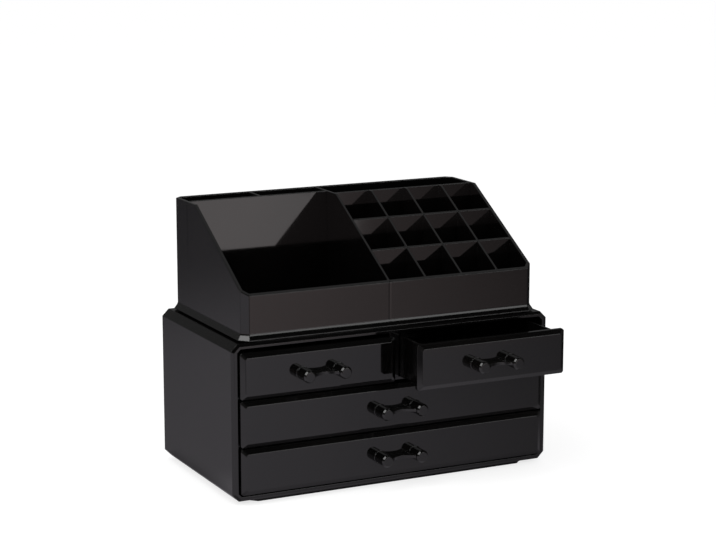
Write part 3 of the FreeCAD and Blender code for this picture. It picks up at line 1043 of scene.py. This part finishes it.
@dataclass(frozen=True)
class DrawerUnit:
    """One drawer: its box, its bevelled front, its handle and the screws that hold it."""

    name: str
    box_finish: bpy.types.Material
    front_finish: bpy.types.Material
    handle_finish: bpy.types.Material
    screw_finish: bpy.types.Material

    @property
    def body(self) -> str:
        """The body that all of the drawer moves with."""
        return f"drawer_{self.name}"

    @staticmethod
    def head_wall(name: str) -> float:
        """Place along Y of the wall that the heads of a drawer's screws sit on."""
        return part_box(f"drawer_front_{name}")[1].y + HEAD_SEAT

    def place(self, piece: bpy.types.Object, node: str, slot: str, finish: bpy.types.Material) -> None:
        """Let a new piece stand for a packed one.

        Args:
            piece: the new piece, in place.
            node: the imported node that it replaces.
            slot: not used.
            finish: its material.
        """
        dress(piece, finish)
        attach(piece, self.body)
        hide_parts(node)

    def build(self, handle: bpy.types.Object, screw: bpy.types.Object) -> None:
        """Dress the box and the front, and fit copies of the handle and the screw.

        Args:
            handle: the handle, about its own middle.
            screw: the screw, about its own axis.
        """
        dress_nodes((f"drawer_box_{self.name}",), self.box_finish)
        dress_nodes((f"drawer_front_{self.name}",), self.front_finish)
        low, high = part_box(f"handle_{self.name}")
        seat = Vector(((low.x + high.x) / 2, high.y, (low.z + high.z) / 2))
        fitted = copied(handle, f"grip_{self.name}", seat)
        self.place(fitted, f"handle_{self.name}", "handle_black", self.handle_finish)

        low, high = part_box(f"handle_screws_{self.name}")
        radius = (high.z - low.z) / 2
        wall = self.head_wall(self.name)
        pair = [copied(screw, f"screw_{x:.3f}", Vector((x, wall, (low.z + high.z) / 2)))
                for x in (low.x + radius, high.x - radius)]
        fitted = joined(pair, f"pan_screws_{self.name}")
        self.place(fitted, f"handle_screws_{self.name}", "screw_steel", self.screw_finish)
        log.info("drawer %s: box, front, handle and 2 screws", self.name)


# ---------------------------------------------------------------- studio
@dataclass(frozen=True)
class Softbox:
    """A soft lamp that looks from its place at its target, with an evenly bright face of a width and a height."""

    name: str
    place: Place
    target: Place
    size: Pair
    radiance: float

    def build(self) -> None:
        """Hang the lamp."""
        data = bpy.data.lights.new(self.name, "AREA")
        data.shape = "RECTANGLE"
        data.size, data.size_y = self.size
        data.energy = self.radiance * self.size[0] * self.size[1] * math.pi
        lamp = bpy.data.objects.new(self.name, data)
        bpy.context.scene.collection.objects.link(lamp)
        lamp.location = self.place
        aim = Vector(self.target) - Vector(self.place)
        lamp.rotation_euler = aim.to_track_quat("-Z", "Y").to_euler()
        lamp.visible_camera = False


@dataclass(frozen=True)
class Studio:
    """A floor and a background that are white to the eye, in a dim room with a few softboxes.

    In reflections the floor is a painted pool of light instead, brightest at the front left, with painted shade
    close to the footprint and in one patch.

    Attributes:
        footprint: the width and the depth of what stands on the floor.
        seen_white: how much of the floor's white is its own, to the eye.
        shadow_share: how much of the light that falls on it is added, which keeps the shadow.
        pool_line: the direction in plan in which the pool fades, and pool its brightness that way.
        front_colour: the colour of the part in front, and front_gain how much brighter that part is.
        beside: how the pool dims from the front of the object to its sides, and behind further back.
        in_front: where the part in front ends.
        contact: how the pool dims close to the footprint, a painted contact shadow.
        dim_spot: the middle of a patch of painted shade, and dim how the pool comes back away from it.
        room: the room's brightness in reflections, by height.
        overhead: what is added above, by height, and overhead_back where along Y that is.
        sky_strength: how bright the room is to rays that are neither seen nor mirrored.
    """

    footprint: Pair
    floor_size: float = 12.0
    floor_albedo: float = 0.92
    seen_white: float = 0.74
    shadow_share: float = 0.44
    pool_line: Pair = (0.879, 0.435)
    pool: Fade = Fade(-0.15, 0.24, 0.76, 0.05, eased=False)
    pool_colour: Colour = (0.97, 0.92, 1.0)
    front_colour: Colour = (1.0, 0.84, 0.84)
    front_gain: float = 0.14
    beside: Fade = Fade(-0.10, 0.03, 1.0, 0.42)
    behind: Fade = Fade(0.3, 0.8, 1.0, 0.50)
    in_front: Fade = Fade(-0.52, -0.44, 1.0, 0.0)
    contact: Fade = Fade(-0.005, 0.022, 0.35, 1.0)
    dim_spot: Spot = (-0.28, -0.60)
    dim: Fade = Fade(0.22, 0.32, 0.15, 1.0)
    room: Fade = Fade(0.25, 0.68, 0.15, 0.02)
    overhead: Fade = Fade(0.60, 0.80, 0.0, 0.34)
    overhead_back: Fade = Fade(0.0, 0.2)
    sky_strength: float = 0.8
    lamps: tuple[Softbox, ...] = (
        Softbox("key_softbox", place=(-0.90, -0.23, 1.22), target=(0.0, 0.0, 0.10), size=(0.5, 1.3), radiance=4.2),
        Softbox("upper_panel", place=(0.53, -1.06, 0.68), target=(0.0, 0.0, 0.12), size=(0.9, 0.5), radiance=2.2),
        Softbox("front_panel", place=(0.15, -0.86, 0.10), target=(0.05, 0.0, 0.13), size=(0.52, 0.2), radiance=1.06),
    )

    def pool_light(self, graph: Graph) -> Socket:
        """The painted pool of light that the floor is in reflections, with its painted contact shadow and painted
        patch of shade.

        Args:
            graph: the floor's graph.

        Returns:
            The light's shader.
        """
        x, y, _ = graph.axes(graph.object_place())
        slant = graph.math("ADD", graph.math("MULTIPLY", x, self.pool_line[0]),
                           graph.math("MULTIPLY", y, self.pool_line[1]))
        in_front = graph.fade(y, self.in_front)
        beyond = [graph.math("SUBTRACT", graph.math("ABSOLUTE", place), side / 2)
                  for place, side in zip((x, y), self.footprint)]
        # painted light: the pool, dimmed beside and behind, with a painted contact shadow by the footprint and a
        # painted patch of shade
        strength = graph.chain(
            "MULTIPLY",
            graph.fade(slant, self.pool),
            graph.fade(y, self.beside),
            graph.fade(y, self.behind),
            graph.math("ADD", graph.math("MULTIPLY", in_front, self.front_gain), 1.0),
            graph.fade(graph.chain("MAXIMUM", *beyond), self.contact),
            graph.fade(graph.away_from(self.dim_spot), self.dim),
        )
        colour = graph.blend(in_front, self.pool_colour, self.front_colour)
        return graph.add("Emission", {"Strength": strength, "Color": colour})

    def floor_material(self) -> bpy.types.Material:
        """White to the eye with the object's shadow kept, and a painted pool of light in reflections.

        Returns:
            The floor's material.
        """
        made, graph = new_material("studio_floor")
        catching = (self.floor_albedo * self.shadow_share,) * 3 + (1.0,)
        plain = (self.floor_albedo,) * 3 + (1.0,)
        seen = graph.add("AddShader", (graph.add("Emission", {"Strength": self.seen_white}),
                                       graph.add("BsdfDiffuse", {"Color": catching})))
        unseen = graph.add("MixShader", (graph.seen_by(Ray.GLOSSY), graph.add("BsdfDiffuse", {"Color": plain}),
                                         self.pool_light(graph)))
        graph.surface(graph.add("MixShader", (graph.seen_by(Ray.CAMERA, Ray.TRANSMISSION), unseen, seen)))
        return made

    def build_floor(self) -> None:
        """Lay the floor."""
        bpy.ops.object.select_all(action="DESELECT")
        bpy.ops.mesh.primitive_plane_add(size=self.floor_size)
        floor = bpy.context.active_object
        floor.name = "studio_floor"
        floor.data.materials.append(self.floor_material())

    def build_world(self) -> None:
        """White for the eye, and in reflections a dim room that is paler at the horizon and overhead."""
        world = bpy.data.worlds.new("studio")
        world.use_nodes = True
        bpy.context.scene.world = world
        graph = Graph(world.node_tree)
        _, y, z = graph.axes(graph.node("TexCoord").outputs["Generated"])
        overhead = graph.math("MULTIPLY", graph.fade(z, self.overhead), graph.fade(y, self.overhead_back))
        room = graph.math("ADD", graph.fade(z, self.room), overhead)
        glossy = graph.seen_by(Ray.GLOSSY)
        seen = graph.seen_by(Ray.CAMERA, Ray.TRANSMISSION)
        plain = graph.math("MULTIPLY", graph.math("SUBTRACT", 1.0, glossy), self.sky_strength)
        unseen = graph.math("ADD", plain, graph.math("MULTIPLY", room, glossy))
        strength = graph.math("ADD", graph.math("MULTIPLY", unseen, graph.math("SUBTRACT", 1.0, seen)), seen)
        graph.surface(graph.add("Background", {"Strength": strength}), "OutputWorld")

    def build(self) -> None:
        """Set up the whole studio."""
        bpy.context.scene.view_settings.view_transform = "Standard"
        self.build_floor()
        self.build_world()
        for lamp in self.lamps:
            lamp.build()
        log.info("studio: floor, world and %d lamps", len(self.lamps))


@dataclass(frozen=True)
class Viewpoint:
    """The main camera, which looks at the organiser from the front left and a little above.

    Angles are in radians, from straight in front and from level. The lens and the sensor are in millimetres.
    """

    azimuth: float = math.radians(-26.35)
    elevation: float = math.radians(11.185)
    distance: float = 1.4465
    target: Place = (0.003, -0.00075, 0.138)
    lens: float = 103.7
    sensor: float = 36.0

    def build(self) -> None:
        """Add the camera and make it the scene's own."""
        data = bpy.data.cameras.new("main_camera")
        data.lens = self.lens
        data.sensor_width = self.sensor
        camera = bpy.data.objects.new("main_camera", data)
        bpy.context.scene.collection.objects.link(camera)
        level = math.cos(self.elevation)
        back = Vector((math.sin(self.azimuth) * level, -math.cos(self.azimuth) * level, math.sin(self.elevation)))
        camera.location = Vector(self.target) + back * self.distance
        camera.rotation_euler = (-back).to_track_quat("-Z", "Y").to_euler()
        bpy.context.scene.camera = camera
        log.info("camera set")


def main() -> None:
    """Build the organiser's looks and the studio around it."""
    logging.basicConfig(level=logging.INFO, format="%(message)s")
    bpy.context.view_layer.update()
    Viewpoint().build()
    cabinet, tray = Cabinet(), Tray()
    effects = SurfaceEffects()
    cabinet_gloss = GlossPlastic("cabinet_gloss").material(effects)
    tray_gloss = GlossPlastic("tray_gloss", edge_radius=0.8 * MM, sinks=tray.sinks()).material(effects)
    plate_gloss = GlossPlastic("tray_plate_gloss", dust_amount=0.05).material(effects)
    front_gloss = GlossPlastic("front_gloss").material(effects)
    box_gloss = GlossPlastic("drawer_gloss", roughness=0.10).material(effects)
    handle_gloss = GlossPlastic("handle_gloss", ripple_height=0.0).material(effects)
    zinc = ZincSteel("screw_zinc").material(effects)
    cabinet.build(cabinet_gloss)
    tray.build(tray_gloss, plate_gloss)

    low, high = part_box("handle_bottom")
    handle = PostHandle(width=high.x - low.x, reach=high.y - low.y, height=high.z - low.z).build()
    low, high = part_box("handle_screws_bottom")
    wall = DrawerUnit.head_wall("bottom")
    screw = PanScrew(head_radius=(high.z - low.z) / 2, head_height=high.y - wall, shank_length=wall - low.y).build()
    for name in DRAWERS:
        DrawerUnit(name, box_gloss, front_gloss, handle_gloss, zinc).build(handle, screw)
    for pattern in (handle, screw):
        bpy.data.objects.remove(pattern)
    Studio(footprint=cabinet.footprint()).build()


if __name__ == "__main__":
    main()
